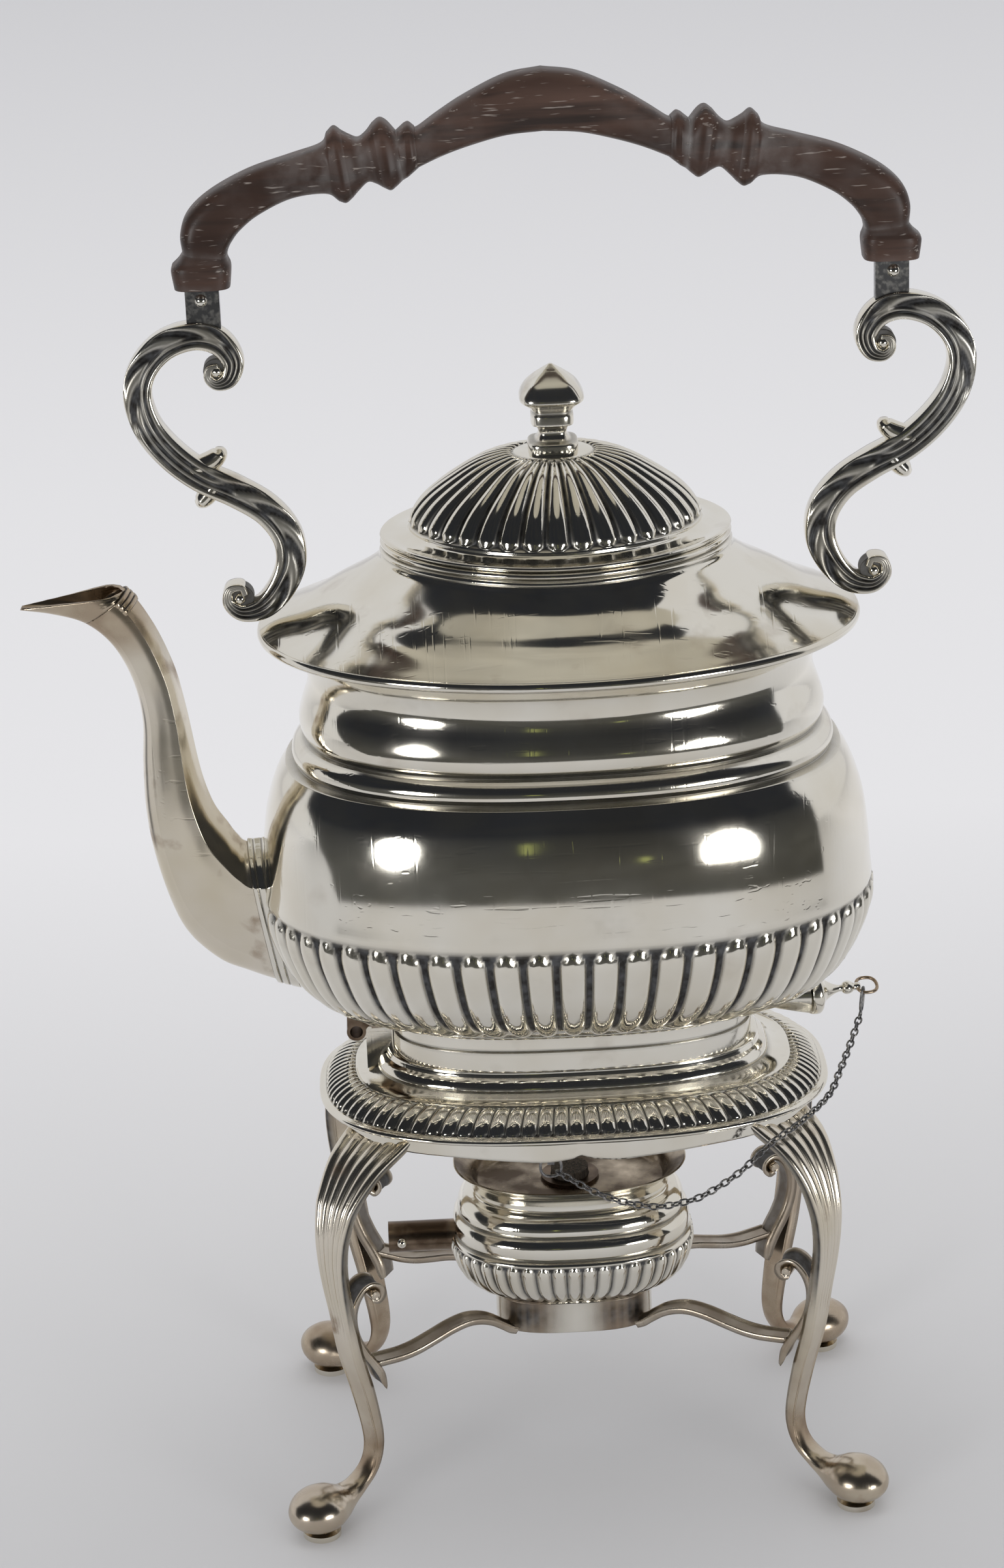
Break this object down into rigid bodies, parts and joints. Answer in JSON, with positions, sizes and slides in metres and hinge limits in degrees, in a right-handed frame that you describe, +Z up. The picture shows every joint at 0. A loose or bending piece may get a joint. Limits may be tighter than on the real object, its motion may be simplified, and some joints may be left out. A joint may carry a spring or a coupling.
{
  "type": "spirit kettle on stand",
  "caption": "Oval silver hot-water kettle with swan spout and wooden bail handle, tilting on a four-legged stand with a spirit burner",
  "frame": {"origin": "on the table, in the middle of the four feet, under the middle of the kettle's body", "axes": "+Z up, -X towards the spout, -Y towards the viewer (the side where the lock pin's chain hangs)"},
  "size_m": [0.2198, 0.0996, 0.3432],
  "materials": {
    "silver": "polished silver with brown tarnish in the recesses",
    "oxidised_silver": "dark oxidised and fire-stained silver",
    "wood": "worn open-pored dark hardwood",
    "wick": "charred cotton"
  },
  "bodies": {
    "stand": {"stand_top": "silver", "stand_apron": "silver", "leg_front_left": "silver", "leg_front_right": "silver", "leg_back_left": "silver", "leg_back_right": "silver", "brace_front_left": "silver", "brace_front_right": "silver", "brace_back_left": "silver", "brace_back_right": "silver", "foot_pads": "silver", "burner_ring": "silver", "hinge_cradle": "silver", "pin_catch": "silver", "chain_eye": "silver", "chain_ring": "oxidised_silver", "chain": "oxidised_silver"},
    "kettle": {"kettle_body": "silver", "kettle_shoulder": "silver", "kettle_foot": "silver", "hinge_tube": "silver", "pin_socket": "silver", "spout": "silver", "spout_socket": "silver", "strainer": "silver", "bracket_left": "silver", "bracket_right": "silver", "tang_left": "silver", "tang_right": "silver", "handle": "wood", "handle_rivets": "silver"},
    "lid_body": {"lid": "silver", "lid_bezel": "silver", "finial": "silver", "finial_nut": "silver"},
    "burner": {"burner_reservoir": "silver", "burner_socket": "silver", "burner_rivet": "silver"},
    "burner_cover": {"burner_funnel": "oxidised_silver", "wick_holder": "oxidised_silver", "wick": "wick"},
    "lock": {"lock_pin": "silver", "pin_ring": "silver"}
  },
  "joints": [
    {"name": "kettle_tilt", "type": "hinge", "parent": "stand", "child": "kettle", "pos_m": [-0.0516, 0, 0.1166], "axis": [0, -1, 0], "range_deg": [0, 60]},
    {"name": "lid_lift", "type": "slide", "parent": "kettle", "child": "lid_body", "axis": [0, 0, 1], "range_m": [0, 0.04]},
    {"name": "pin_pull", "type": "slide", "parent": "stand", "child": "lock", "axis": [0.9848, 0.1736, 0], "range_m": [0, 0.024], "deforming": ["chain"]},
    {"name": "burner_lift", "type": "slide", "parent": "stand", "child": "burner", "axis": [0, 0, 1], "range_m": [0, 0.01]},
    {"name": "cover_lift", "type": "slide", "parent": "burner", "child": "burner_cover", "axis": [0, 0, 1], "range_m": [0, 0.01]}
  ]
}
